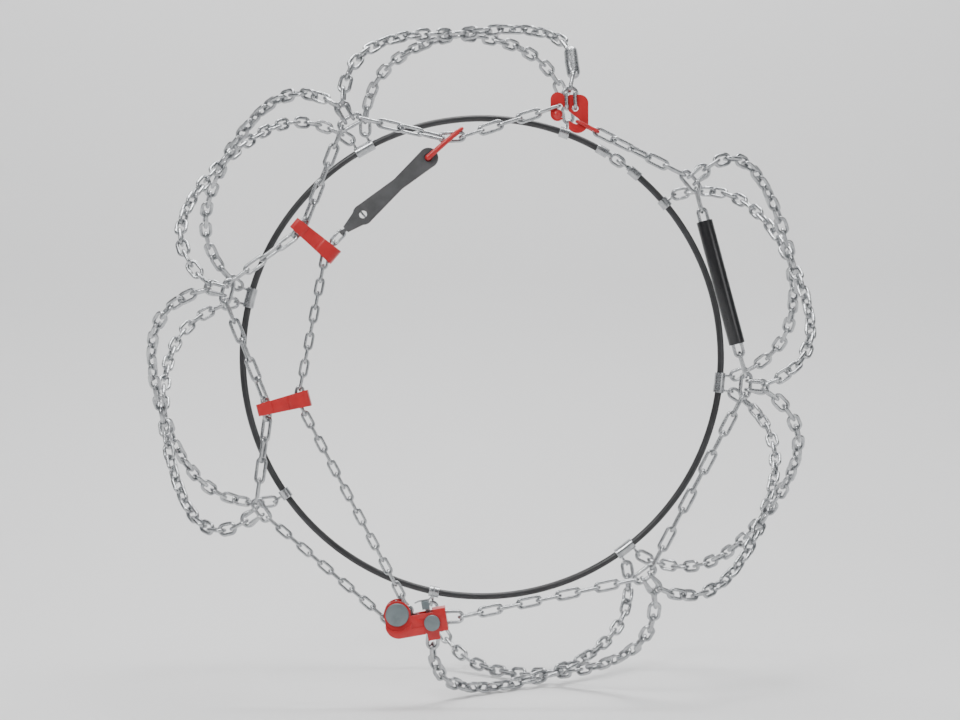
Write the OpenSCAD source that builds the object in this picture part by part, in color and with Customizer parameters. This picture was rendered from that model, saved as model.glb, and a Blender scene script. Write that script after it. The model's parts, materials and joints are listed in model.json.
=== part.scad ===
// Tyre snow chain, in place on a 235/65 R16 tyre: an outer side chain with a ratchet tensioner,
// a closing hook and a rubber tensioner, cross chains in a diamond pattern round the tread,
// and a cable hoop on the inner side. The tyre and wheel are not part of it.
// Origin at the wheel's centre, wheel axle along Y, outer face of the wheel towards -Y, +Z up.

/* [Tyre fit] */
// Outside radius of the tyre that the chain fits
tyre_r = 356; // [352:1:360]
// Half the width between the cross chains' centre lines at the two sidewalls
side_half = 122; // [120:1:124]
// Distance of the outer side chain's plane from the tyre's middle plane
side_y = 126; // [125.5:0.1:126.5]
// How squarely the cross chains go round the tyre's shoulder
shoulder_power = 3.2; // [2.8:0.1:3.6]

/* [Cross chain] */
// Wire diameter of a cross chain link
cross_wire = 4; // [3.8:0.1:4.1]
// Inner width of a cross chain link
cross_inner = 7; // [6.8:0.1:7.4]
// Spacing of the cross chain's links
cross_pitch = 15.6; // [15:0.1:17]
// Wire diameter of a tread ring
ring_wire = 5; // [4.5:0.1:5]
// Mean radius of a tread ring
ring_r = 12; // [12:0.1:13]

/* [Side chain] */
// Wire diameter of a side chain link
side_wire = 3.6; // [3.4:0.1:3.7]
// Inner width of a side chain link
side_inner = 5.2; // [5:0.1:5.4]
// Spacing of the side chain's links
side_pitch = 21.8; // [20.5:0.1:23]
// Wire diameter of a junction link and a double cross hook
junction_wire = 4; // [3.8:0.1:4]

/* [Tension chain] */
// Wire diameter of a tension chain link
thin_wire = 3; // [2.8:0.1:3]
// Inner width of a tension chain link
thin_inner = 4.2; // [4:0.1:4.3]
// Spacing of the tension chain's links
thin_pitch = 14.6; // [14:0.1:15.4]

/* [Inner hoop] */
// Radius of the hoop's centre line
hoop_r = 283; // [281:1:285]
// Diameter of the sheathed cable
hoop_wire = 8; // [7:0.5:8]

/* [Sleeve and strap] */
// Length of the sleeve over the side chain
sleeve_l = 134; // [110:1:140]
// Outer diameter of the sleeve
sleeve_d = 17; // [16.5:0.1:18]
// Thickness of the rubber strap
strap_t = 5; // [4:0.5:6]

/* [Hidden] */
$fn = 48;
gap = 0.5;
tread_r = tyre_r + 6.3;
profile_r = tyre_r - 81;
hoop_y = side_half;
steel = [0.72, 0.73, 0.75];
red = [0.79, 0.16, 0.16];
cap_grey = [0.40, 0.45, 0.46];
rubber = [0.30, 0.30, 0.31];
black = [0.07, 0.07, 0.08];

// junctions of the side chain, clockwise from the upper left; number 1 is the closing hook, 5 the ratchet
junction_a = [119.3, 69.8, 40.1, -6.1, -53.2, -101.5, -145.2, -194.4];
junction_r = [284, 276, 287, 279, 286, 293, 283, 277];
link_junctions = [0, 2, 3, 4, 6, 7];
double_junctions = [0, 3, 4, 7];
// bays of the tread net: the angle of each tread ring
bay_a = [94.5, 17, -29.6, -77.6, -169.8, -217.5];
// each cross chain half strand: its junction and its bay
strand_ends = [[0, 0], [1, 0], [2, 1], [3, 1], [3, 2], [4, 2], [4, 3], [5, 3], [6, 4], [7, 4], [7, 5], [0, 5]];
strand_bend = 1.2;
single_bend = 1.9;
hook_lead = 22;
ratchet_lead = 48;
profile_steps = 90;
tread_roll = 45;
roll_links = 4;

// junction link and double cross hook
junction_inner_w = 6;
junction_inner_l = 21.5;
rail_off = (junction_inner_w + junction_wire) / 2;
run_along = 10.5;
run_in = 1.2;
hook_wire = 3.8;
hook_leg = 4.6;
hook_rise = 4.1;
hook_bar = 12;
crown_r = 7.1;
crown_at = 12;
single_at = crown_at + crown_r - hook_wire / 2 - 0.8;
double_at = [15.9, 3.1];

// closing hook plate, in the front plane
plate_t = 4;
plate_hook = [93.5, 265.5];
plate_hook_a = 93;
plate_hole = [98.1, 261.9];
plate_hole_r = 3.5;
run_hole = [82, 263.5];
run_hole_r = 3.2;
jaw_seat = [99.5, 248.3];
jaw_r = 3.3;
seat_slack = 0.6;
rivet_at = [79.3, 255.4];

// ratchet, in its own frame on the front plane: origin on the pulley's axle
ratchet_at = [-88.6, -269.5];
ratchet_a = 10;
ratchet_y = 131;
pulley_pitch_r = 12.42;
core_r = 4.5;
groove = 5.6;
flange_r = 13.5;
flange_t = 2;
wheel_r = 12;
tooth_r = 14;
wheel_t = 2.8;
teeth = 12;
axle_r = 3;
running = 0.05;
boss_r = 14.2;
plate_back = 8.7;
plate_front = 8;
wall_t = 3;
cover_t = 2.5;
cap_t = 2.9;
big_cap_r = 12.1;
small_cap_r = 8.4;
pawl_at = [34.4, -14.6];
pawl_tip = [12.3, -3.3];
heel = [-0.5, -11.2];
heel_r = 13.8;
floor_z = -25;
pocket_z = -20.6;
wrap_r = 18;
top_z = -3.7;
block_x = [37, 50];
block_z = [-25, -1.4];
tab_x = [27.3, 40];
tab_z = -33.2;
pin_r = 2.25;
tab_pin_r = 2.05;
pin_top = 8.5;
tab_pin_top = 5;
ring_pin = [45, -12];
tab_pin = [33.6, -28.5];
ring_inner_l = 22.5;
ring_inner_w = 7.9;
ring_a = -8;

// tension chain's way past the guides to the strap
guide_side = [[-224.5, -54.5], [-189.5, 133]];
guide_chain = [[-194, -46], [-164, 113]];
strap_eye = [-56.5, 209.7];
strap_a = 220.94;
eye_gap = 91;
tail_gap = 119.3;
eye_r = [10.5, 10.9];
eye_hole = 4.2;
strap_y = 126;
tail_w = 3.4;
tail_hole = 2.4;
strap_pin_r = 1.1;
strap_pin_l = 14.4;
// the side chain link that the strap's hook holds
held_link = [-31.7, 231.6];
hook_turn = 20;

function unit(v) = v / norm(v);
function polar(r, a, y) = [r * cos(a), y, r * sin(a)];
function face(p, y) = [p[0], -y, p[1]];
function turned(p, a) = [p[0] * cos(a) - p[1] * sin(a), p[0] * sin(a) + p[1] * cos(a)];
function nearest(d) = d - 360 * round(d / 360);
function has(list, v) = len(search(v, list)) > 0;

// running lengths along a path, and points at equal lengths along it
function sums(p) = [for (i = 0, s = 0; i < len(p); i = i + 1, s = s + (i < len(p) ? norm(p[i] - p[i - 1]) : 0)) s];
function tables(p) = let (s = sums(p)) [for (c = [0:2]) [for (i = [0:len(p) - 1]) [s[i], p[i][c]]]];
function path_length(p) = sums(p)[len(p) - 1];
function spaced(p, n, l) = let (t = tables(p)) [for (k = [0:n]) [for (c = [0:2]) lookup(l * k / n, t[c])]];

// ---------- cross chain half strands: over the shoulder from a junction to a tread ring
function profile(u) = [
    profile_r + (tread_r - profile_r) * pow(sin(u), 2 / shoulder_power),
    side_half * pow(cos(u), 2 / shoulder_power)
];
function start_angle(r) = asin(pow((r - profile_r) / (tread_r - profile_r), shoulder_power / 2));
function profile_normal(p, side) = let (
    r = norm([p[0], p[2]]),
    a = atan2(p[2], p[0]),
    out = pow(max(0, (r - profile_r) / (tread_r - profile_r)), shoulder_power - 1) / (tread_r - profile_r),
    across = pow(abs(p[1]) / side_half, shoulder_power - 1) / side_half
) unit([out * cos(a), side * across, out * sin(a)]);

// where a half strand starts: [radius, angle], on the outer side and on the hoop
function bay_side(i) = sign(nearest(bay_a[strand_ends[i][1]] - junction_a[strand_ends[i][0]]));
function is_double(i) = has(double_junctions, strand_ends[i][0]);
function polar_of(p) = [norm(p), atan2(p[1], p[0])];
function outer_start(i) = let (j = strand_ends[i][0])
    j == 1 ? polar_of(plate_hook + turned([single_at, 0], plate_hook_a))
    : j == 5 ? polar_of(ratchet_at + turned(tab_pin + [0, pin_r], ratchet_a))
    : is_double(i) ? polar_of(turned([junction_r[j] + rail_off + double_at[0], bay_side(i) * double_at[1]], junction_a[j]))
    : [junction_r[j] + rail_off + single_at, junction_a[j]];
lug_at = 12.7;
lug_hole = 3.4;
lug_play = 0.25;
lug_t = 3;
lug_off = 1.75;
function inner_start(i) = [
    hoop_r + lug_at + lug_hole - 1,
    junction_a[strand_ends[i][0]] + (is_double(i) ? bay_side(i) * lug_off : 0)
];
// depth of a half strand's start, and the length over which it comes down to the tyre
function start_depth(i, side) = side > 0 ? hoop_y : strand_ends[i][0] == 5 ? ratchet_y : side_y - hook_rise;
function lead(i, side) = side < 0 && strand_ends[i][0] == 5 ? ratchet_lead : hook_lead;
function ease(x) = (1 + cos(180 * min(1, x))) / 2;
function strand_path(i, side) = let (
    start = strand_start(i, side),
    u0 = start_angle(start[0]),
    pr = [for (q = [0:profile_steps]) profile(u0 + (90 - u0) * q / profile_steps)],
    s = sums(pr),
    da = nearest(bay_a[strand_ends[i][1]] - start[1]),
    lift = start_depth(i, side) - pr[0][1]
) [for (q = [0:profile_steps]) polar(
    pr[q][0],
    start[1] + da * pow(s[q] / s[profile_steps], side < 0 && !is_double(i) ? single_bend : strand_bend),
    side * (pr[q][1] + lift * ease(s[q] / lead(i, side)))
)];
function strand_start(i, side) = side < 0 ? outer_start(i) : inner_start(i);
function strand_joints(i, side) = let (
    p = strand_path(i, side),
    l = path_length(p) - ring_r + ring_wire / 2
) spaced(p, round(l / cross_pitch), l);
function first_roll(i, side) = side > 0 || strand_ends[i][0] == 5 ? 0 : 90;
// links turn upright at both ends and lie at 45 degrees to the tread between
function strand_roll(i, k, n, side) = let (
    base = first_roll(i, side) + 90 * k,
    last = first_roll(i, side) + 90 * (n - 1),
    back = last % 180 == 90 ? -1 : 1
) base + tread_roll * (min(1, k / roll_links) + back * max(0, (k - n + 1 + roll_links) / roll_links));

module link(inner_l, inner_w, wire) {
    bend_r = (inner_w + wire) / 2;
    leg = 2 * round(500 * (inner_l - inner_w)) / 1000;
    for (s = [-1, 1]) {
        translate([-leg / 2, s * bend_r, 0]) rotate([0, 90, 0]) cylinder(d = wire, h = leg);
        translate([s * leg / 2, 0, 0]) rotate([0, 0, -90 * s])
            rotate_extrude(angle = 180) translate([bend_r, 0]) circle(d = wire);
    }
}

// a link between two joint points, its flat face turned by roll out of the surface whose normal is n
module link_between(a, b, n, roll, inner_w, wire, extra = gap) {
    t = unit(b - a);
    side = unit(cross(n, t));
    up = cross(t, side);
    w = cos(roll) * side + sin(roll) * up;
    m = cross(t, w);
    c = (a + b) / 2;
    multmatrix([[t[0], w[0], m[0], c[0]], [t[1], w[1], m[1], c[1]], [t[2], w[2], m[2], c[2]]])
        link(norm(b - a) + extra, inner_w, wire);
}

module strand(i, side) {
    joints = strand_joints(i, side);
    n = len(joints) - 1;
    color(steel) for (k = [0:n - 1]) {
        middle = (joints[k] + joints[k + 1]) / 2;
        link_between(joints[k], joints[k + 1], profile_normal(middle, side),
            strand_roll(i, k, n, side), cross_inner, cross_wire);
    }
}

// ---------- outer side chain
function run_end(j, s) = turned([junction_r[j] - run_in, s * run_along], junction_a[j]);
function ratchet_point(p) = ratchet_at + turned(p, ratchet_a);
ring_end = ratchet_point(ring_pin + turned([ring_inner_l - pin_r, 0], ring_a));
held_dir = unit(run_hole - run_end(0, -1));
run_paths = [
    [run_end(0, -1), held_link - held_dir * side_pitch / 2, held_link + held_dir * side_pitch / 2, run_hole - [run_hole_r - seat_slack, 0]],
    [jaw_seat + turned([jaw_r - seat_slack, 0], -26.5), run_end(2, 1)],
    [run_end(2, -1), run_end(3, 1)],
    [run_end(3, -1), run_end(4, 1)],
    [run_end(4, -1), ring_end],
    [run_end(7, 1), guide_side[0], run_end(6, -1)],
    [run_end(0, 1), guide_side[1], run_end(7, -1)]
];
held_k = 4;
function flat_points(list, y) = [for (p = list) face(p, y)];
// the held link's run keeps its corners at links' ends; the others are spaced evenly
function run_joints(r) = let (p = flat_points(run_paths[r], side_y))
    r == 0 ? concat(
        spaced([p[0], p[1]], held_k, norm(p[1] - p[0])),
        spaced([p[2], p[3]], 5, norm(p[3] - p[2])))
    : r == 4 ? let (
        q = [p[0], face(run_paths[4][1], ratchet_y)],
        l = path_length(q)) spaced(q, round(l / side_pitch), l)
    : let (l = path_length(p)) spaced(p, round(l / side_pitch), l);
// a run with an even number of links is twisted a quarter turn along its length
function run_roll(r, k, n) = 90 * (k + 1)
    - (r == 0 ? (k <= held_k ? hook_turn * k : held_k * hook_turn + 2 * (k - held_k))
    : n % 2 == 0 ? 90 * k / (n - 1) : 0);

module side_run(r, from = 0, to = 99) {
    joints = run_joints(r);
    n = len(joints) - 1;
    for (k = [from:min(to, n - 1)])
        link_between(joints[k], joints[k + 1], [0, -1, 0], run_roll(r, k, n), side_inner, side_wire,
            r == 0 ? 2 * gap : gap);
}

// children drawn on the front plane at depth y: X along angle a, Y across it, Z towards the viewer
module on_face(p, a, y) {
    translate([p[0], -y, p[1]]) rotate([90, 0, 0]) rotate([0, 0, a]) children();
}

module junction_links() {
    color(steel) for (j = link_junctions)
        on_face(turned([junction_r[j], 0], junction_a[j]), junction_a[j] + 90, side_y)
            link(junction_inner_l, junction_inner_w, junction_wire);
}

// double hook that carries the cross chains: two hairpin legs round the rail and one crown;
// its bends are a little thicker than its straight legs, whose ends go into them
module cross_hook() {
    reach = norm([crown_at, hook_leg]);
    crown_a = 180 - atan2(hook_leg, crown_at) - acos(crown_r / reach);
    leg = [crown_at + crown_r * cos(crown_a), crown_r * sin(crown_a) - hook_leg];
    bend_wire = hook_wire + 0.4;
    sunk = 0.4;
    for (s = [-1, 1]) {
        translate([-sunk, s * hook_leg, hook_rise]) rotate([0, 90, 0]) cylinder(d = hook_wire, h = hook_bar);
        translate([0, s * hook_leg, 0]) rotate([90, 0, 0]) rotate([0, 0, 90])
            rotate_extrude(angle = 180) translate([hook_rise, 0]) circle(d = bend_wire);
        translate([0, s * hook_leg, -hook_rise]) rotate([0, 0, s * atan2(leg[1], leg[0])])
            translate([-sunk, 0, 0]) rotate([0, 90, 0]) cylinder(d = hook_wire, h = norm(leg) + 2 * sunk);
    }
    translate([crown_at, 0, -hook_rise]) rotate([0, 0, -crown_a])
        rotate_extrude(angle = 2 * crown_a) translate([crown_r, 0]) circle(d = bend_wire);
}

module cross_hooks() {
    color(steel) {
        for (j = link_junctions)
            on_face(turned([junction_r[j] + rail_off, 0], junction_a[j]), junction_a[j], side_y) cross_hook();
        on_face(plate_hook, plate_hook_a, side_y) cross_hook();
    }
}

module tread_rings() {
    color(steel) for (a = bay_a)
        translate(polar(tread_r, a, 0)) rotate([0, 90 - a, 0])
            rotate_extrude() translate([ring_r, 0]) circle(d = ring_wire);
}

// ---------- closing hook
module closing_hook_plate() {
    jaw = [100.6, 247.2];
    jaw_out = 11.4;
    lobe = [79.5, 263.5];
    lobe_r = 7.4;
    lobe_half = 7.7;
    bridge_z = [265.4, 276];
    right_x = [91.4, 112];
    corner_r = 9;
    color(red) on_face([0, 0], 0, side_y + plate_t / 2) translate([0, 0, -plate_t])
        linear_extrude(height = plate_t) difference() {
            union() {
                for (s = [-1, 1]) translate(lobe + [0, s * lobe_half]) circle(r = lobe_r);
                translate(lobe - [lobe_r, lobe_half]) square([2 * lobe_r, 2 * lobe_half]);
                translate([lobe[0], bridge_z[0]]) square([24, bridge_z[1] - bridge_z[0] - 1]);
                translate([right_x[0], 250]) square([right_x[1] - right_x[0] - corner_r, bridge_z[1] - 250]);
                translate([right_x[0], jaw[1]]) square([right_x[1] - right_x[0], bridge_z[1] - jaw[1] - corner_r]);
                translate([right_x[1] - corner_r, bridge_z[1] - corner_r]) circle(r = corner_r);
                translate(jaw) circle(r = jaw_out);
            }
            translate(plate_hole) circle(r = plate_hole_r);
            translate(run_hole) circle(r = run_hole_r);
            translate(jaw_seat) circle(r = jaw_r);
            // the jaw's mouth, open up and to the left
            for (a = [142, 155]) translate(jaw_seat) rotate(a) translate([0, -jaw_r]) square([24, 2 * jaw_r]);
            translate([lobe[0] + lobe_r + 0.1, 240]) square([right_x[0] - lobe[0] - lobe_r - 0.1, bridge_z[0] - 240]);
            translate(rivet_at) circle(r = 2.5);
        }
}

module closing_hook_rivet() {
    dome_r = 5.4;
    color(red) on_face(rivet_at, 0, side_y) {
        translate([0, 0, -plate_t / 2 - 1.6]) cylinder(r = 4, h = 1.6);
        translate([0, 0, -plate_t / 2 - 0.1]) cylinder(r = 2.45, h = plate_t + 0.2);
        translate([0, 0, plate_t / 2]) intersection() {
            translate([0, 0, -2]) sphere(r = sqrt(dome_r * dome_r + 4));
            cylinder(r = dome_r, h = 6);
        }
    }
}

module closing_link() { color(red) side_run(1, 0, 0); }
module top_run() { color(steel) side_run(0); }
module closing_run() { color(steel) side_run(1, 1); }
module sleeved_run() { color(steel) side_run(2); }
module right_run() { color(steel) side_run(3); }
module bottom_run() { color(steel) side_run(4); }
module left_run() { color(steel) side_run(5); }
module upper_left_run() { color(steel) side_run(6); }

module chain_sleeve() {
    p = run_paths[2];
    d = p[1] - p[0];
    color(black) on_face((p[0] + p[1]) / 2, atan2(d[1], d[0]), side_y) rotate([0, 90, 0])
        difference() {
            cylinder(d = sleeve_d, h = sleeve_l, center = true);
            cylinder(d = sleeve_d - 3, h = sleeve_l + 1, center = true);
        }
}

// ---------- ratchet tensioner
module in_ratchet() { on_face(ratchet_at, ratchet_a, ratchet_y) children(); }

module housing_outline() {
    circle(r = boss_r);
    translate(heel) circle(r = heel_r);
    translate([heel[0], floor_z]) square([tab_x[1] - heel[0], top_z - floor_z]);
    translate([block_x[0] - 1, block_z[0]]) square([block_x[1] - block_x[0] + 1, block_z[1] - block_z[0]]);
}

module ratchet_body() {
    low = plate_back + wall_t;
    tab_half = 6.2;
    slot_half = 2.5;
    tab_slot = [-4.2, 3];
    color(red) in_ratchet() difference() {
        union() {
            translate([0, 0, -low]) linear_extrude(height = wall_t) housing_outline();
            // outer wall round the chain's way
            translate([0, 0, -plate_back]) linear_extrude(height = plate_back + plate_front) difference() {
                union() {
                    translate(heel) circle(r = heel_r);
                    translate([heel[0], floor_z]) square([tab_x[1] - heel[0], 12]);
                }
                circle(r = wrap_r);
                translate([-2, pocket_z]) square([50, 30]);
                translate([-30, -9]) square([40, 30]);
            }
            translate([block_x[0], block_z[0], -plate_back])
                cube([block_x[1] - block_x[0], block_z[1] - block_z[0], plate_back + plate_front + cover_t]);
            translate([tab_x[0], tab_z, -tab_half])
                cube([tab_x[1] - tab_x[0], block_z[0] - tab_z + 1, 2 * tab_half]);
        }
        // pocket for the pawl's hub and spring
        translate([pawl_at[0], pawl_at[1], -plate_back]) cylinder(r = 6.6, h = 40);
        // slot and pin hole for the ring link
        translate([block_x[0] + 2, ring_pin[1] - 9.5, -slot_half]) cube([20, 19, 2 * slot_half]);
        translate([ring_pin[0], ring_pin[1], -low - 1]) cylinder(r = pin_r, h = low + 1 + pin_top);
        // slot and pin hole for the cross chain
        translate([tab_x[0] - 2, tab_z - 1, tab_slot[0]]) cube([17.5, 12.8, tab_slot[1] - tab_slot[0]]);
        translate([tab_pin[0], tab_pin[1], -low - 1]) cylinder(r = tab_pin_r, h = low + 1 + tab_pin_top);
        translate([0, 0, -low - 1]) cylinder(r = axle_r, h = 10);
        translate([pawl_at[0], pawl_at[1], -low - 1]) cylinder(r = axle_r, h = 10);
    }
}

module ratchet_cover() {
    rib_h = 2;
    rib_x = 26;
    color(red) in_ratchet() difference() {
        union() {
            translate([0, 0, plate_front]) linear_extrude(height = cover_t) difference() {
                union() {
                    circle(r = boss_r);
                    translate(heel) circle(r = heel_r);
                    translate([heel[0], floor_z]) square([block_x[0] - heel[0] - 0.1, top_z - floor_z]);
                }
                translate([tab_x[0] - 1, floor_z - 1]) square([20, 3]);
            }
            translate([0, 0, plate_front + cover_t]) linear_extrude(height = rib_h) difference() {
                union() {
                    translate(heel) circle(r = heel_r);
                    translate([heel[0], floor_z]) square([rib_x - heel[0], 8]);
                }
                circle(r = 17);
            }
        }
        translate([0, 0, plate_front - 1]) cylinder(r = axle_r, h = 10);
        translate([pawl_at[0], pawl_at[1], plate_front - 1]) cylinder(r = axle_r, h = 10);
    }
}

module ratchet_pulley() {
    tooth_lean = 9;
    color(steel) in_ratchet() difference() {
        union() {
            translate([0, 0, -groove]) cylinder(r = core_r, h = 2 * groove);
            translate([0, 0, groove]) cylinder(r = flange_r, h = flange_t);
            translate([0, 0, -groove - wheel_t]) linear_extrude(height = wheel_t) {
                circle(r = wheel_r);
                for (k = [0:teeth - 1]) rotate(360 / teeth * (k + 0.5) - 15)
                    polygon([
                        [0, 0],
                        wheel_r * [cos(tooth_lean), -sin(tooth_lean)],
                        tooth_r * [cos(2), sin(2)],
                        wheel_r * [cos(4), sin(4)]
                    ]);
            }
        }
        translate([0, 0, -20]) cylinder(r = axle_r + running, h = 40);
    }
}

module rivet(cap_r) {
    low = plate_back + wall_t;
    translate([0, 0, -low - 1.2]) cylinder(r = axle_r + 1.8, h = 1.2);
    translate([0, 0, -low]) cylinder(r = axle_r, h = low + plate_front + cover_t);
    translate([0, 0, plate_front + cover_t]) cylinder(r = cap_r, h = cap_t - 0.8);
    translate([0, 0, plate_front + cover_t + cap_t - 0.8]) cylinder(r1 = cap_r, r2 = cap_r - 0.8, h = 0.8);
}

module pulley_rivet() { color(cap_grey) in_ratchet() rivet(big_cap_r); }
module pawl_rivet() { color(cap_grey) in_ratchet() translate([pawl_at[0], pawl_at[1], 0]) rivet(small_cap_r); }

module ratchet_pins() {
    low = plate_back + wall_t;
    color(steel) in_ratchet() {
        translate([ring_pin[0], ring_pin[1], -low]) cylinder(r = pin_r, h = low + pin_top);
        translate([tab_pin[0], tab_pin[1], -6]) cylinder(r = tab_pin_r, h = 6 + tab_pin_top);
    }
}

module pawl() {
    hub_r = 5.3;
    tip_half = 1.1;
    arm = pawl_tip - pawl_at;
    across = unit([-arm[1], arm[0]]);
    t = wheel_t - 0.2;
    color(steel) in_ratchet() translate([0, 0, -groove - wheel_t]) difference() {
        union() {
            translate([pawl_at[0], pawl_at[1], 0]) cylinder(r = hub_r, h = t);
            linear_extrude(height = t) polygon([
                pawl_at + across * 4.6, pawl_tip + across * tip_half,
                pawl_tip - across * tip_half, pawl_at - across * 4.6
            ]);
            translate([28.8, -12, 0]) cube([4.4, 18, t]);
        }
        translate([pawl_at[0], pawl_at[1], -1]) cylinder(r = axle_r + running, h = t + 2);
    }
}

// folded sheet lever that lifts the pawl, and the thin wire on it
lever_x = [26.5, 34.5];
lever_z = [-0.2, 6.2];
lever_front = 3.4;
sheet_t = 1.6;
module release_lever() {
    w = lever_x[1] - lever_x[0];
    color(cap_grey) in_ratchet() {
        translate([lever_x[0], lever_z[1], -groove - wheel_t]) cube([w, sheet_t, groove + wheel_t + lever_front + sheet_t]);
        translate([lever_x[0], lever_z[0], lever_front]) cube([w, lever_z[1] - lever_z[0], sheet_t]);
    }
}

wire_points = [[20, 7.6], [24, 8.7], [35, 8.7], [38.6, 11.5], [41.2, 15.5], [42.6, 20]];
module release_wire() {
    half = 0.8;
    color(steel) in_ratchet() translate([0, 0, -1 - half]) linear_extrude(height = 2 * half)
        for (k = [0:len(wire_points) - 2]) {
            d = wire_points[k + 1] - wire_points[k];
            translate(wire_points[k]) circle(r = half + 0.1);
            translate(wire_points[k]) rotate(atan2(d[1], d[0])) translate([0, -half]) square([norm(d), 2 * half]);
        }
}

module pawl_spring() {
    coil_r = 4;
    wire_r = 0.6;
    color(steel) in_ratchet() translate([pawl_at[0], pawl_at[1], -3.6]) {
        for (k = [0:2]) translate([0, 0, 1.4 * k]) rotate_extrude() translate([coil_r, 0]) circle(r = wire_r);
        rotate([0, 0, 150]) translate([coil_r, 0, 0]) rotate([0, 90, 0]) cylinder(r = wire_r, h = 5);
        rotate([0, 0, 80]) translate([coil_r, 0, 2.8]) rotate([0, 90, 0]) cylinder(r = wire_r, h = 5);
    }
}

module ratchet_ring() {
    color(steel) in_ratchet() translate(ring_pin) rotate(ring_a)
        translate([ring_inner_l / 2 - pin_r, 0]) link(ring_inner_l, ring_inner_w, side_wire);
}

// ---------- tension chain: from junction 6 round the pulley, past both guides, to the strap
function strap_point(s) = strap_eye + turned([s, 0], strap_a);
chain_start = run_end(6, 1);
to_pulley = ratchet_at - chain_start;
to_guide = guide_chain[0] - ratchet_at;
wrap_in = atan2(to_pulley[1], to_pulley[0]) - asin(pulley_pitch_r / norm(to_pulley)) - 90;
wrap_out = atan2(to_guide[1], to_guide[0]) - acos(pulley_pitch_r / norm(to_guide));
wrap_step = 6;
tension_corners = concat(
    [face(chain_start, side_y)],
    [for (a = [wrap_in:wrap_step:wrap_out]) face(ratchet_at + turned([pulley_pitch_r, 0], a), ratchet_y)],
    [face(guide_chain[0], side_y), face(guide_chain[1], side_y), face(strap_point(tail_gap), strap_y)]
);
// a joint is where a flat link's crown is centred on an upright link's wire, so the chain can bend there
function beyond(a, b, d) = b + d * unit(b - a);
corner_count = len(tension_corners);
tension_path = concat(
    [beyond(tension_corners[1], tension_corners[0], thin_wire / 2)],
    [for (i = [1:corner_count - 2]) tension_corners[i]],
    [beyond(tension_corners[corner_count - 2], tension_corners[corner_count - 1], -thin_inner / 2)]
);
tension_length = path_length(tension_path);
tension_count = 2 * round((tension_length / thin_pitch) / 2);
tension_tables = tables(tension_path);
function tension_joint(k) = let (
    x = k * tension_length / tension_count + (k % 2) * (thin_inner + thin_wire) / 2
) [for (c = [0:2]) lookup(x, tension_tables[c])];
module tension_chain() {
    color(steel) for (k = [0:tension_count - 1])
        link_between(tension_joint(k), tension_joint(k + 1), [0, -1, 0], 90 * (k + 1),
            thin_inner, thin_wire, k % 2 == 0 ? -thin_wire : thin_inner);
}

// ---------- guides: a moulded strip with a loop for the side chain and one for the tension chain
module loop_outline(w, h, r, wall) {
    difference() {
        rounded(w + 2 * wall, h + 2 * wall, r + wall);
        rounded(w, h, r);
    }
}
module rounded(w, h, r) {
    square([w - 2 * r, h], center = true);
    square([w, h - 2 * r], center = true);
    for (x = [-1, 1], y = [-1, 1]) translate([x * (w / 2 - r), y * (h / 2 - r)]) circle(r = r);
}
guide_wall = 1.8;
loop_h = 15.4;
// each guide's side loop is round the middle link of its run
guide_link = 5;
function guide_loop(g) = let (j = run_joints(5 + g), c = (j[guide_link] + j[guide_link + 1]) / 2) [c[0], c[2]];
module guide(g) {
    d = guide_chain[g] - guide_loop(g);
    far = norm(d);
    side_w = 14.4;
    chain_w = 20;
    chain_off = 1.2;
    web_z = loop_h / 2 - 1.4;
    web_x = [side_w / 2 + 0.4, far + chain_off - chain_w / 2 - 0.4];
    ends = [12.4, 17.4];
    left = -side_w / 2 - guide_wall;
    right = far + chain_off + chain_w / 2 + guide_wall;
    color(red) on_face(guide_loop(g), atan2(d[1], d[0]), side_y) intersection() {
        rotate([90, 0, 0]) linear_extrude(height = 20, center = true) {
            loop_outline(side_w, loop_h, 3, guide_wall);
            translate([far + chain_off, 0]) loop_outline(chain_w, loop_h, 3, guide_wall);
            translate([web_x[0], web_z - guide_wall / 2]) square([web_x[1] - web_x[0], guide_wall]);
        }
        translate([0, 0, -20]) linear_extrude(height = 40) polygon([
            [left - 1, -ends[0] / 2], [right + 1, -ends[1] / 2], [right + 1, ends[1] / 2], [left - 1, ends[0] / 2]
        ]);
    }
}
module lower_guide() { guide(0); }
module upper_guide() { guide(1); }

// ---------- rubber strap, its hook and cross pin
module tension_strap() {
    waist = [eye_gap * 0.46, 6.6];
    tail_half = 3.75;
    tip_l = 7;
    neck = tail_gap - 4;
    color(rubber) on_face(strap_eye, strap_a, strap_y) difference() {
        union() {
            translate([0, 0, -strap_t / 2]) linear_extrude(height = strap_t) {
                circle(r = eye_r[0]);
                translate([eye_gap, 0]) circle(r = eye_r[1]);
                polygon([[2, eye_r[0] - 0.25], waist, [waist[0], -waist[1]], [2, -eye_r[0] + 0.25]]);
                polygon([waist, [eye_gap - 2, eye_r[1] - 0.3], [eye_gap - 2, -eye_r[1] + 0.3], [waist[0], -waist[1]]]);
                polygon([[eye_gap, eye_r[1] - 0.8], [neck, tail_half], [neck, -tail_half], [eye_gap, -eye_r[1] + 0.8]]);
            }
            translate([neck - 1, -tail_w / 2, -3.7]) cube([tip_l + 1, tail_w, 7.4]);
        }
        translate([0, 0, -10]) cylinder(r = eye_hole, h = 20);
        translate([eye_gap, 0, -10]) cylinder(r = eye_hole, h = 20);
        translate([tail_gap - thin_wire / 2 + 0.2, 10, 0]) rotate([90, 0, 0]) cylinder(r = tail_hole, h = 20);
        translate([eye_gap, 0, 0]) rotate([90, 0, 0]) cylinder(r = strap_pin_r + 0.05, h = strap_pin_l + 0.2, center = true);
    }
}

module strap_pin() {
    color(steel) on_face(strap_point(eye_gap), strap_a, strap_y)
        rotate([90, 0, 0]) cylinder(r = strap_pin_r, h = strap_pin_l, center = true);
}

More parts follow.
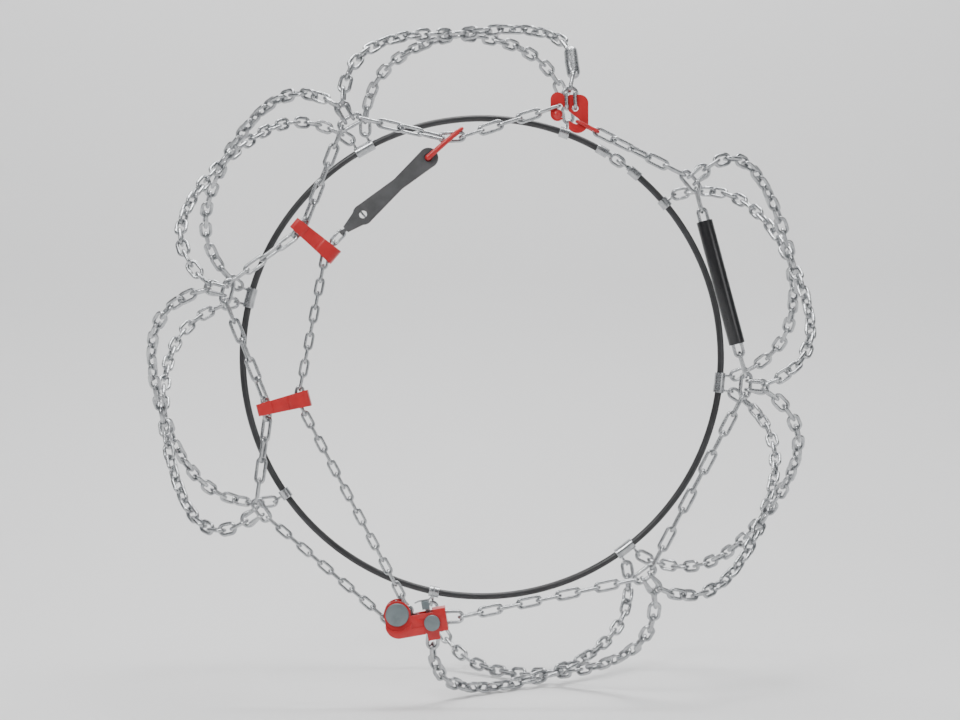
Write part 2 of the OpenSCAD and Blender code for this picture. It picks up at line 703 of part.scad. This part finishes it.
strap_hook_l = norm(held_link - strap_eye);
module strap_hook() {
    bar_z = 5.8;
    bend = 5.4;
    reach = strap_hook_l + 8.4;
    color(red) on_face(strap_eye, strap_a - 180, strap_y) {
        // stem through the strap's eye with a flat head behind it
        translate([0, 0, -strap_t / 2 - 2.6]) cylinder(r = 6.4, h = 2.2);
        translate([0, 0, -strap_t / 2 - 0.5]) cylinder(r = 2.8, h = strap_t / 2 + 0.5 + bar_z);
        translate([0, 0, bar_z]) sphere(r = 3.2);
        translate([0, 0, bar_z]) rotate([0, 90, 0]) cylinder(r1 = 3, r2 = 2.5, h = reach);
        // bight round the held link and its short return behind it
        translate([reach, 0, bar_z - bend]) rotate([90, 0, 0]) rotate([0, 0, -90])
            rotate_extrude(angle = 180) translate([bend, 0]) circle(r = 1.9);
        translate([reach, 0, bar_z - 2 * bend]) rotate([0, -90, 0]) cylinder(r = 1.9, h = 5);
    }
}

// ---------- inner hoop: sheathed cable, clips for the cross chains, and a two-part coupler
coupler_a = 55;
coupler_half = 3.6;
module hoop_arc(a0, a1, r_out, r_in = 0) {
    translate([0, hoop_y, 0]) rotate([90, 0, 0]) rotate([0, 0, a0])
        rotate_extrude(angle = a1 - a0, $fn = 180) translate([hoop_r, 0]) difference() {
            circle(r = r_out);
            if (r_in > 0) circle(r = r_in);
        }
}
module hoop_cable() {
    color(black) hoop_arc(coupler_a + coupler_half, coupler_a + 360 - coupler_half, hoop_wire / 2);
}

module hoop_clips() {
    color(steel) for (j = [0:7]) {
        two = has(double_junctions, j);
        half = two ? 2.4 : 1.2;
        hoop_arc(junction_a[j] - half, junction_a[j] + half, hoop_wire / 2 + 2.4, hoop_wire / 2 + 0.3);
        for (o = two ? [-lug_off, lug_off] : [0])
            translate([0, hoop_y, 0]) rotate([90, 0, 0]) rotate([0, 0, junction_a[j] + o])
                difference() {
                    union() {
                        translate([hoop_r + 5.2, -lug_t / 2, -4.5]) cube([lug_at - 5.2, lug_t, 9]);
                        translate([hoop_r + lug_at, lug_t / 2, 0]) rotate([90, 0, 0])
                            cylinder(r = lug_hole + 2, h = lug_t);
                    }
                    translate([hoop_r + lug_at, 5, 0]) rotate([90, 0, 0]) cylinder(r = lug_hole + lug_play, h = 10);
                }
    }
}

module hoop_ferrules() {
    color(steel) for (s = [-1, 1]) {
        near = coupler_a + s * (coupler_half - 0.4);
        away = coupler_a + s * (coupler_half + 2.6);
        hoop_arc(min(near, away), max(near, away), hoop_wire / 2 + 1.8, hoop_wire / 2 + 0.1);
    }
}

// coupler parts lie along the tangent at the hoop's gap
module at_coupler() {
    translate([0, hoop_y, 0]) rotate([90, 0, 0]) rotate([0, 0, coupler_a]) translate([hoop_r, 0, 0])
        rotate([0, 0, 90]) children();
}
module coupler_eye() {
    color(steel) at_coupler() {
        translate([2.2, 0, 0]) link(13, 7, 4);
        translate([11.7, 0, 0]) rotate([0, 90, 0]) cylinder(r = 3.3, h = 5.6);
    }
}
module coupler_hook() {
    hook_r = 4.3;
    color(steel) at_coupler() {
        translate([-17.3, 0, 0]) rotate([0, 90, 0]) cylinder(r = 3.3, h = 5);
        translate([-12.5, 0, hook_r]) rotate([0, 90, 0]) cylinder(r = 2, h = 10);
        translate([-12.5, 0, 0]) cylinder(r = 2.2, h = hook_r + 2.1);
        translate([-2.5, 0, 0]) rotate([90, 0, 0]) rotate([0, 0, -90])
            rotate_extrude(angle = 180) translate([hook_r, 0]) circle(r = 2);
        translate([-2.5, 0, -hook_r]) rotate([0, -90, 0]) cylinder(r = 2, h = 5);
    }
}

top_run();
closing_run();
sleeved_run();
right_run();
bottom_run();
left_run();
upper_left_run();
closing_link();
closing_hook_plate();
closing_hook_rivet();
junction_links();
cross_hooks();
tread_rings();
tension_chain();
chain_sleeve();
lower_guide();
upper_guide();
tension_strap();
strap_pin();
strap_hook();
ratchet_body();
ratchet_cover();
ratchet_pulley();
pulley_rivet();
pawl();
pawl_rivet();
pawl_spring();
release_lever();
release_wire();
ratchet_ring();
ratchet_pins();
hoop_cable();
hoop_clips();
hoop_ferrules();
coupler_eye();
coupler_hook();
strand(0, -1);  // outer_strand_01
strand(1, -1);  // outer_strand_02
strand(2, -1);  // outer_strand_03
strand(3, -1);  // outer_strand_04
strand(4, -1);  // outer_strand_05
strand(5, -1);  // outer_strand_06
strand(6, -1);  // outer_strand_07
strand(7, -1);  // outer_strand_08
strand(8, -1);  // outer_strand_09
strand(9, -1);  // outer_strand_10
strand(10, -1);  // outer_strand_11
strand(11, -1);  // outer_strand_12
strand(0, 1);  // inner_strand_01
strand(1, 1);  // inner_strand_02
strand(2, 1);  // inner_strand_03
strand(3, 1);  // inner_strand_04
strand(4, 1);  // inner_strand_05
strand(5, 1);  // inner_strand_06
strand(6, 1);  // inner_strand_07
strand(7, 1);  // inner_strand_08
strand(8, 1);  // inner_strand_09
strand(9, 1);  // inner_strand_10
strand(10, 1);  // inner_strand_11
strand(11, 1);  // inner_strand_12
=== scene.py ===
import json
import math
import random

import bpy
import bmesh
import numpy as np
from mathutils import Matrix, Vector


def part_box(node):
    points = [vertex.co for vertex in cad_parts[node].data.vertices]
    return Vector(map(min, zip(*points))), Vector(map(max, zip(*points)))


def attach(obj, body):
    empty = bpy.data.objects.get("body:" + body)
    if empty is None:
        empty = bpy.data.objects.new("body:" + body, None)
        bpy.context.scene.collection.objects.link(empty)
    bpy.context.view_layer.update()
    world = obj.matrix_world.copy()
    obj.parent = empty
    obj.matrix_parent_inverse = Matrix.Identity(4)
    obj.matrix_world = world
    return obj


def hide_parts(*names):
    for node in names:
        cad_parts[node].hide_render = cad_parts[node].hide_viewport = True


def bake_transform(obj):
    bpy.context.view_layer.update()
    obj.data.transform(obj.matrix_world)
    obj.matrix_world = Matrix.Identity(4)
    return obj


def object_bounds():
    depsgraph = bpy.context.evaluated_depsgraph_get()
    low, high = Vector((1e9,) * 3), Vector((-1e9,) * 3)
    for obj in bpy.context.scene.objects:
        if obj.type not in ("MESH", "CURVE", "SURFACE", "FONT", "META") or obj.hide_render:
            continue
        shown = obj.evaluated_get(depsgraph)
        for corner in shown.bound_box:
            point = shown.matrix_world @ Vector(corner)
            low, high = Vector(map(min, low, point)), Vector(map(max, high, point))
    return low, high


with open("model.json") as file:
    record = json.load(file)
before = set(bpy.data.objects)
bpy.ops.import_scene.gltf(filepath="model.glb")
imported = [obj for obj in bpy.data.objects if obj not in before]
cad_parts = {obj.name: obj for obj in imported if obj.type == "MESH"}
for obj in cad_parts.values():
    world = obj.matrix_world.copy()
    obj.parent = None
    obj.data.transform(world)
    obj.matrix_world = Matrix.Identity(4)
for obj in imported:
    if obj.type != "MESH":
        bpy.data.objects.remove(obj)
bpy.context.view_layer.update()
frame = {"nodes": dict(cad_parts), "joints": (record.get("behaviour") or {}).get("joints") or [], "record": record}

MM = 0.001
OUTER_STRANDS = [f"outer_strand_{i:02d}" for i in range(1, 13)]
INNER_STRANDS = [f"inner_strand_{i:02d}" for i in range(1, 13)]
SIDE_RUNS = ["top_run", "closing_run", "sleeved_run", "right_run", "bottom_run", "left_run", "upper_left_run"]
LINK_NODES = SIDE_RUNS + ["closing_link", "junction_links", "tension_chain", "ratchet_ring"]
SIDES = 18
# vertices of a CAD mesh nearer to each other than this are one point
WELD = 2e-6

# sizes that repeat the CAD's, in metres
HOOK_WIRE = 3.8 * MM
HOOK_LEG = 4.6 * MM
HOOK_RISE = 4.1 * MM
HOOK_BAR = 12 * MM
CROWN_R = 7.1 * MM
CROWN_AT = 12 * MM
BEND_WIRE = HOOK_WIRE + 0.4 * MM
# the cuts across the strap
STRAP_CUTS = 26
STRAP_AXIS = next(j for j in frame["joints"] if j["name"] == "strap_stretch")["axis"]


# ---------- materials
def new_material(name):
    mat = bpy.data.materials.new(name)
    mat.use_nodes = True
    nodes = mat.node_tree.nodes
    nodes.clear()
    out = nodes.new("ShaderNodeOutputMaterial")
    shader = nodes.new("ShaderNodeBsdfPrincipled")
    mat.node_tree.links.new(shader.outputs["BSDF"], out.inputs["Surface"])
    return mat, shader


def noise(mat, scale, detail=4.0, roughness=0.55):
    """A noise texture in object coordinates, scale in features per metre."""
    nodes, links = mat.node_tree.nodes, mat.node_tree.links
    coord = nodes.new("ShaderNodeTexCoord")
    tex = nodes.new("ShaderNodeTexNoise")
    tex.inputs["Scale"].default_value = scale
    tex.inputs["Detail"].default_value = detail
    tex.inputs["Roughness"].default_value = roughness
    links.new(coord.outputs["Object"], tex.inputs["Vector"])
    return tex.outputs["Fac"]


def ramp(mat, fac, stops):
    """A colour ramp over fac with stops of (position, grey or colour)."""
    node = mat.node_tree.nodes.new("ShaderNodeValToRGB")
    mat.node_tree.links.new(fac, node.inputs["Fac"])
    elements = node.color_ramp.elements
    while len(elements) < len(stops):
        elements.new(0.5)
    for element, (position, value) in zip(elements, stops):
        element.position = position
        colour = (value,) * 3 if isinstance(value, float) else value
        element.color = (*colour, 1.0)
    return node.outputs["Color"]


def bump(mat, shader, fac, strength, distance):
    node = mat.node_tree.nodes.new("ShaderNodeBump")
    node.inputs["Strength"].default_value = strength
    node.inputs["Distance"].default_value = distance
    mat.node_tree.links.new(fac, node.inputs["Height"])
    mat.node_tree.links.new(node.outputs["Normal"], shader.inputs["Normal"])


def finish_material(name, colours, rough, metallic=0.0, coat=0.0, cloud=40.0, grain=900.0, relief=0.15):
    """A material whose colour and roughness drift with a broad noise and whose surface has a fine grain."""
    mat, shader = new_material(name)
    links = mat.node_tree.links
    broad = noise(mat, cloud)
    fine = noise(mat, grain, detail=6.0)
    links.new(ramp(mat, broad, [(0.3, colours[0]), (0.7, colours[1])]), shader.inputs["Base Color"])
    links.new(ramp(mat, fine, [(0.3, rough[0]), (0.7, rough[1])]), shader.inputs["Roughness"])
    shader.inputs["Metallic"].default_value = metallic
    shader.inputs["Coat Weight"].default_value = coat
    bump(mat, shader, fine, relief, 0.0002)
    return mat


def make_materials():
    return {
        "zinc_steel": finish_material(
            "zinc_steel", [(0.33, 0.34, 0.35), (0.52, 0.53, 0.54)], [0.20, 0.34],
            metallic=1.0, cloud=120.0, grain=1500.0, relief=0.22),
        "red_paint": finish_material(
            "red_paint", [(0.42, 0.005, 0.007), (0.52, 0.010, 0.012)], [0.34, 0.48],
            coat=0.15, cloud=60.0, grain=1400.0, relief=0.25),
        "red_plastic": finish_material(
            "red_plastic", [(0.40, 0.005, 0.007), (0.50, 0.010, 0.012)], [0.42, 0.56],
            coat=0.05, cloud=70.0, grain=1800.0, relief=0.2),
        "grey_metal": finish_material(
            "grey_metal", [(0.125, 0.155, 0.165), (0.17, 0.205, 0.215)], [0.34, 0.48],
            metallic=0.25, coat=0.15, cloud=80.0, grain=1600.0, relief=0.2),
        "strap_rubber": finish_material(
            "strap_rubber", [(0.050, 0.050, 0.052), (0.085, 0.085, 0.088)], [0.55, 0.75],
            cloud=50.0, grain=2200.0, relief=0.3),
        "black_plastic": finish_material(
            "black_plastic", [(0.004, 0.004, 0.005), (0.010, 0.010, 0.012)], [0.26, 0.40],
            coat=0.2, cloud=30.0, grain=700.0, relief=0.25),
        "cable_sheath": finish_material(
            "cable_sheath", [(0.012, 0.012, 0.013), (0.024, 0.024, 0.026)], [0.34, 0.5],
            coat=0.15, cloud=30.0, grain=1200.0, relief=0.2),
    }


MATERIALS = make_materials()
SLOTS = {s["node"]: s["material_slot"] for s in frame["record"]["subparts"]}


# ---------- swept wires
def unit(v):
    return v / np.linalg.norm(v)


def sweep(points, radii, closed=False, normal=None, sides=SIDES):
    """Vertices and faces of a round wire along points. With a plane normal its section never twists."""
    points = np.asarray(points, float)
    radii = np.broadcast_to(np.asarray(radii, float), (len(points),))
    n = len(points)
    if closed:
        tangents = np.roll(points, -1, 0) - np.roll(points, 1, 0)
    else:
        tangents = np.gradient(points, axis=0)
    tangents /= np.linalg.norm(tangents, axis=1)[:, None]
    if normal is None:
        ups = [unit(np.cross(tangents[0], [0.31, 0.87, 0.38]))]
        for t in tangents[1:]:
            ups.append(unit(ups[-1] - np.dot(ups[-1], t) * t))
        ups = np.array(ups)
    else:
        ups = np.broadcast_to(unit(np.asarray(normal, float)), (n, 3))
    across = np.cross(tangents, ups)
    angles = np.arange(sides) * 2 * math.pi / sides
    cosines, sines = np.cos(angles)[None, :, None], np.sin(angles)[None, :, None]
    ring = cosines * across[:, None, :] + sines * ups[:, None, :]
    verts = (points[:, None, :] + ring * radii[:, None, None]).reshape(-1, 3)
    a = np.arange(n if closed else n - 1)[:, None] * sides
    b = (a + sides) % (n * sides)
    i = np.arange(sides)[None, :]
    j = (i + 1) % sides
    faces = np.stack([a + i, b + i, b + j, a + j], -1).reshape(-1, 4).tolist()
    if not closed:
        faces.append(list(range(sides)))
        faces.append([(n - 1) * sides + k for k in range(sides - 1, -1, -1)])
    return verts, faces


def rounded_end(points, radius, steps=4):
    """Adds closing dome points at the end of a path, and gives the radii of these dome points."""
    tip = np.asarray(points[-1], float)
    way = unit(tip - np.asarray(points[-2], float))
    extra = [math.sin(math.pi / 2 * (k + 1) / (steps + 0.3)) for k in range(steps)]
    domes = [tip + way * radius * e * 0.8 for e in extra]
    return domes, [radius * math.sqrt(max(0.01, 1 - e * e)) for e in extra]


def capped_wire(points, radius):
    """A round wire with domed ends."""
    points = [np.asarray(p, float) for p in points]
    end, end_radii = rounded_end(points, radius)
    start, start_radii = rounded_end(points[::-1], radius)
    path = start[::-1] + points + end
    radii = start_radii[::-1] + [radius] * len(points) + end_radii
    return sweep(path, radii)


def arc(centre, u, v, radius, a0, a1, steps):
    """Points of an arc from angle a0 to a1 in degrees, in the plane of the unit vectors u and v."""
    centre, u, v = (np.asarray(x, float) for x in (centre, u, v))
    return [centre + radius * (math.cos(math.radians(a)) * u + math.sin(math.radians(a)) * v)
            for a in np.linspace(a0, a1, steps)]


def make_piece(name, parts, slot, body, *nodes):
    """One mesh piece from several (vertices, faces), standing for CAD nodes and riding on a body."""
    verts, faces, base = [], [], 0
    for v, f in parts:
        verts.append(np.asarray(v, float))
        faces += [[base + k for k in face] for face in f]
        base += len(v)
    mesh = bpy.data.meshes.new(name)
    mesh.from_pydata(np.concatenate(verts).tolist(), [], faces)
    mesh.update()
    mesh.polygons.foreach_set("use_smooth", [True] * len(mesh.polygons))
    obj = bpy.data.objects.new(name, mesh)
    bpy.context.scene.collection.objects.link(obj)
    mesh.materials.append(MATERIALS[slot])
    if body:
        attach(obj, body)
    if nodes:
        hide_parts(*nodes)
    return obj


# ---------- reading the CAD solids
def world_mesh(node):
    """Vertices and triangles of a CAD node in the row frame."""
    obj = frame["nodes"][node]
    mesh = obj.data
    mesh.calc_loop_triangles()
    verts = np.empty(len(mesh.vertices) * 3)
    mesh.vertices.foreach_get("co", verts)
    verts = verts.reshape(-1, 3)
    world = np.array(obj.matrix_world)
    verts = verts @ world[:3, :3].T + world[:3, 3]
    tris = np.empty(len(mesh.loop_triangles) * 3, dtype=np.int64)
    mesh.loop_triangles.foreach_get("vertices", tris)
    return verts, tris.reshape(-1, 3)


def islands(node):
    """The separate solids of a CAD node, each as (vertices, triangles)."""
    verts, tris = world_mesh(node)
    keys, same = np.unique(np.round(verts / WELD).astype(np.int64), axis=0, return_inverse=True)
    same = same.reshape(-1)
    tris = same[tris]
    label = np.arange(len(keys))
    while True:
        low = label[tris].min(axis=1)
        after = label.copy()
        for corner in range(3):
            np.minimum.at(after, tris[:, corner], low)
        after = after[after]
        if (after == label).all():
            break
        label = after
    places = np.zeros((len(keys), 3))
    places[same] = verts
    found = []
    for root in np.unique(label):
        mine = tris[label[tris[:, 0]] == root]
        if len(mine):
            found.append((places[label == root], places[mine]))
    return found


def axes_of(solid):
    """Centre, axes (long, wide, thin) and sizes of a solid from its surface's second moments."""
    verts, tris = solid
    areas = np.linalg.norm(np.cross(tris[:, 1] - tris[:, 0], tris[:, 2] - tris[:, 0]), axis=1)
    middles = tris.mean(axis=1)
    mean = (middles * areas[:, None]).sum(0) / areas.sum()
    spread = (middles - mean).T @ ((middles - mean) * areas[:, None])
    _, vectors = np.linalg.eigh(spread)
    axes = vectors[:, ::-1].T
    if np.linalg.det(axes) < 0:
        axes[2] = -axes[2]
    reach = (verts - mean) @ axes.T
    centre = mean + ((reach.max(0) + reach.min(0)) / 2) @ axes
    return centre, axes, reach.max(0) - reach.min(0)


# ---------- chain links
BEND_STEPS = 13
LEG_STEPS = 5


def link_wire(solid, rng):
    """A welded wire link in the place of one CAD link: two bends, two legs and a weld bead on one leg."""
    centre, (long, wide, thin), (length, width, wire) = axes_of(solid)
    bend_r = (width - wire) / 2
    half = (length - width) / 2
    if rng.random() < 0.5:
        wide, thin = -wide, -thin
    path, swell = [], []
    for side, start in ((1, -90), (-1, 90)):
        path += arc(centre + long * half * side, long, wide, bend_r, start, start + 180, BEND_STEPS)
        swell += [1.0] * BEND_STEPS
        for k in range(1, LEG_STEPS + 1):
            t = 1 - 2 * k / (LEG_STEPS + 1)
            path.append(centre + long * half * side * t + wide * bend_r * side)
            bead = 0.11 * math.exp(-(t * half / (0.42 * wire)) ** 2) if side > 0 else 0.0
            swell.append(1.0 + bead)
    radii = np.array(swell) * wire / 2
    return sweep(path, radii, closed=True, normal=thin)


def build_chain(node, body, rng):
    parts = [link_wire(solid, rng) for solid in islands(node)]
    make_piece(f"{node}_links", parts, SLOTS[node], body, node)


def build_tread_rings():
    """Round welded rings on the tread."""
    parts = []
    for solid in islands("tread_rings"):
        centre, (long, wide, thin), (length, width, wire) = axes_of(solid)
        steps = 48
        path = arc(centre, long, wide, (length - wire) / 2, 0, 360 * (steps - 1) / steps, steps)
        swell = [1 + 0.09 * math.exp(-((k - 6) / 1.1) ** 2) for k in range(steps)]
        parts.append(sweep(path, np.array(swell) * wire / 2, closed=True, normal=thin))
    make_piece("tread_ring_wires", parts, "zinc_steel", "net", "tread_rings")


# ---------- cross hooks
def hook_path():
    """Centre line of a hook: front bar, hairpin, back leg, crown, and the same back again."""
    reach = math.hypot(CROWN_AT, HOOK_LEG)
    crown_a = 180 - math.degrees(math.atan2(HOOK_LEG, CROWN_AT)) - math.degrees(math.acos(CROWN_R / reach))
    half = [np.array([x, HOOK_LEG, HOOK_RISE]) for x in np.linspace(HOOK_BAR, 0, 4)]
    half += arc([0, HOOK_LEG, 0], [1, 0, 0], [0, 0, 1], HOOK_RISE, 98, 262, 11)
    half.append(np.array([0, HOOK_LEG, -HOOK_RISE]))
    crown = arc([CROWN_AT, 0, -HOOK_RISE], [1, 0, 0], [0, 1, 0], CROWN_R, crown_a, -crown_a, 19)
    return half + crown + [p * [1, -1, 1] for p in half[::-1]]


def build_cross_hooks():
    local = hook_path()
    front = np.array([0.0, -1.0, 0.0])
    tip_reach = CROWN_AT + CROWN_R + BEND_WIRE / 2
    parts = []
    for solid in islands("cross_hooks"):
        centre, (long, _, _), _ = axes_of(solid)
        long = unit(long * [1, 0, 1])
        if np.dot(long, centre) < 0:
            long = -long
        across = np.cross(front, long)
        reach = (solid[0] @ long).max()
        origin = long * (reach - tip_reach) + across * (centre @ across)
        depth = solid[0][:, 1]
        origin = origin + np.array([0.0, (depth.max() + depth.min()) / 2, 0.0])
        path = [origin + p[0] * long + p[1] * across + p[2] * front for p in local]
        parts.append(capped_wire(path, (HOOK_WIRE + 0.15 * MM) / 2))
    make_piece("cross_hook_wires", parts, "zinc_steel", "net", "cross_hooks")


# ---------- hoop and spring
def build_hoop():
    """The sheathed cable of the inner hoop, open at its coupler."""
    solid = islands("hoop_cable")[0][0]
    low, high = solid.min(0), solid.max(0)
    wire = high[1] - low[1]
    radius = (high[0] - low[0] - wire) / 2
    y = (high[1] + low[1]) / 2
    angle = np.degrees(np.arctan2(solid[:, 2], solid[:, 0]))
    turned = np.sort(angle[np.hypot(solid[:, 0], solid[:, 2]) > radius])
    gaps = np.diff(turned)
    at = int(np.argmax(gaps))
    start, end = turned[at + 1], turned[at] + 360
    path = arc([0, y, 0], [1, 0, 0], [0, 0, 1], radius, start, end, 260)
    cable = sweep(path, wire / 2, normal=[0, 1, 0])
    make_piece("hoop_cable_sheath", [cable], "cable_sheath", "net", "hoop_cable")


def build_spring():
    """The pawl's torsion spring, a real helix round the pawl's rivet."""
    low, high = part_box("pawl_spring")
    low, high = np.array(low), np.array(high)
    pivot = np.array(next(j for j in frame["joints"] if j["name"] == "pawl_release")["pos_m"])
    radius = 4 * MM
    wire = 0.6 * MM
    tail_rise = 0.4 * MM
    depth = high[1] - low[1] - 2 * wire
    turns = 3.4
    points_per_turn = 22
    path = []
    for t in np.linspace(0, 1, int(turns * points_per_turn)):
        a = math.radians(90 + 360 * turns * t)
        y = high[1] - wire - depth * t
        path.append([pivot[0] + radius * math.cos(a), y, pivot[2] + radius * math.sin(a)])
    path.insert(0, [pivot[0] + radius, path[0][1], path[0][2] + tail_rise])
    make_piece("pawl_spring_coil", [sweep(path, wire, sides=10)], "zinc_steel", "net", "pawl_spring")


# ---------- CAD nodes with softened edges, and the strap
def soften(node, width, angle=35, segments=3):
    """A CAD node shown as it is, with its edges rounded."""
    obj = frame["nodes"][node]
    obj.data.materials.clear()
    obj.data.materials.append(MATERIALS[SLOTS[node]])
    weld = obj.modifiers.new("weld", "WELD")
    weld.merge_threshold = WELD
    bevel = obj.modifiers.new("bevel", "BEVEL")
    bevel.width = width
    bevel.segments = segments
    bevel.limit_method = "ANGLE"
    bevel.angle_limit = math.radians(angle)
    bevel.harden_normals = False
    bevel.use_clamp_overlap = True
    obj.data.polygons.foreach_set("use_smooth", [True] * len(obj.data.polygons))
    return obj


def build_strap():
    """The rubber strap, cut across its length from its lower eye to its hook."""
    node = "tension_strap"
    soften(node, 0.9 * MM)
    source = frame["nodes"][node]
    bpy.context.view_layer.update()
    evaluated = source.evaluated_get(bpy.context.evaluated_depsgraph_get())
    mesh = bpy.data.meshes.new_from_object(evaluated)
    mesh.transform(source.matrix_world)
    source.modifiers.clear()
    axis = Vector(STRAP_AXIS).normalized()
    along = [v.co.dot(axis) for v in mesh.vertices]
    low, high = min(along), max(along)
    middle = sum((v.co for v in mesh.vertices), Vector()) / len(mesh.vertices)
    bm = bmesh.new()
    bm.from_mesh(mesh)
    for t in np.linspace(low, high, STRAP_CUTS + 2)[1:-1]:
        plane = middle + axis * (t - middle.dot(axis))
        bmesh.ops.bisect_plane(bm, geom=bm.verts[:] + bm.edges[:] + bm.faces[:], plane_co=plane, plane_no=axis)
    bm.to_mesh(mesh)
    bm.free()
    mesh.materials.clear()
    mesh.materials.append(MATERIALS[SLOTS[node]])
    obj = bpy.data.objects.new("strap", mesh)
    bpy.context.scene.collection.objects.link(obj)
    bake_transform(obj)
    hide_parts(node)


# ---------- build
def build():
    rng = random.Random(7)
    for node in LINK_NODES:
        build_chain(node, "net", rng)
    for node in OUTER_STRANDS + INNER_STRANDS:
        build_chain(node, node, rng)
    build_tread_rings()
    build_cross_hooks()
    build_hoop()
    build_spring()
    build_strap()
    for node, width in {
        "closing_hook_plate": 0.9 * MM, "closing_hook_rivet": 0.4 * MM, "ratchet_body": 0.7 * MM,
        "ratchet_cover": 0.7 * MM, "pulley_rivet": 0.4 * MM, "pawl_rivet": 0.4 * MM, "pawl": 0.2 * MM,
        "ratchet_pulley": 0.25 * MM, "ratchet_pins": 0.2 * MM, "release_lever": 0.4 * MM,
        "release_wire": 0.6 * MM, "chain_sleeve": 0.5 * MM, "lower_guide": 0.5 * MM, "upper_guide": 0.5 * MM,
        "strap_pin": 0.3 * MM, "strap_hook": 0.5 * MM, "hoop_clips": 0.4 * MM,
        "hoop_ferrules": 0.4 * MM, "coupler_eye": 0.3 * MM, "coupler_hook": 0.3 * MM,
    }.items():
        soften(node, width)


build()


# ---------- set, light and camera
def plain_material(name, colour):
    return finish_material(name, [colour, colour], [0.7, 0.8], cloud=2.0, grain=50.0, relief=0.02)


def clear_from_behind(mat):
    """The backdrop shows only its front, so that it doesn't stand in the way of a view from behind."""
    nodes, links = mat.node_tree.nodes, mat.node_tree.links
    out = next(n for n in nodes if n.type == "OUTPUT_MATERIAL")
    shader = next(n for n in nodes if n.type == "BSDF_PRINCIPLED")
    mix = nodes.new("ShaderNodeMixShader")
    clear = nodes.new("ShaderNodeBsdfTransparent")
    links.new(nodes.new("ShaderNodeNewGeometry").outputs["Backfacing"], mix.inputs[0])
    links.new(shader.outputs["BSDF"], mix.inputs[1])
    links.new(clear.outputs["BSDF"], mix.inputs[2])
    links.new(mix.outputs["Shader"], out.inputs["Surface"])
    return mat


def build_stage():
    """A pale floor that curves up into a wall behind the chain."""
    low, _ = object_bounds()
    size, back, lift, bend = 6.0, 0.9, 3.0, 0.5
    drop = 0.5 * MM
    profile = [(-size, 0.0), (back - bend, 0.0)]
    for a in np.linspace(0.1, math.pi / 2, 12):
        profile.append((back - bend + bend * math.sin(a), bend - bend * math.cos(a)))
    profile.append((back, lift))
    verts = [(x, y, z + low[2] - drop) for y, z in profile for x in (-size, size)]
    faces = [[2 * k, 2 * k + 1, 2 * k + 3, 2 * k + 2] for k in range(len(profile) - 1)]
    mesh = bpy.data.meshes.new("backdrop")
    mesh.from_pydata(verts, [], faces)
    mesh.polygons.foreach_set("use_smooth", [True] * len(mesh.polygons))
    obj = bpy.data.objects.new("backdrop", mesh)
    bpy.context.scene.collection.objects.link(obj)
    pale = plain_material("backdrop", (0.80, 0.80, 0.80))
    mesh.materials.append(clear_from_behind(pale))


def area_light(name, at, target, size, power):
    data = bpy.data.lights.new(name, "AREA")
    data.shape = "RECTANGLE"
    data.size, data.size_y = size
    data.energy = power
    obj = bpy.data.objects.new(name, data)
    obj.location = at
    obj.rotation_euler = (Vector(target) - Vector(at)).to_track_quat("-Z", "Y").to_euler()
    bpy.context.scene.collection.objects.link(obj)


def build_lights():
    area_light("key", (-1.4, -2.2, 1.9), (0, 0, 0), (1.0, 0.7), 54)
    area_light("fill", (1.9, -2.0, 0.5), (0, 0, 0), (1.0, 1.4), 14)
    area_light("top", (0.2, -0.2, 2.3), (0, 0, 0), (1.6, 1.2), 34)
    area_light("back_wash", (0.0, 0.2, 2.4), (0, 0.9, 0.3), (2.4, 0.6), 44)
    world = bpy.data.worlds.new("studio")
    world.use_nodes = True
    background = world.node_tree.nodes["Background"]
    background.inputs["Color"].default_value = (0.85, 0.87, 0.9, 1)
    background.inputs["Strength"].default_value = 0.26
    bpy.context.scene.world = world


def build_camera():
    """Straight along the axle, a little left of and below the hub."""
    data = bpy.data.cameras.new("camera")
    data.sensor_width = 36
    data.lens = 71
    obj = bpy.data.objects.new("camera", data)
    obj.location = (-0.0021, -2.12, -0.0032)
    obj.rotation_euler = (math.radians(90), 0, 0)
    bpy.context.scene.collection.objects.link(obj)
    bpy.context.scene.camera = obj


build_stage()
build_lights()
build_camera()
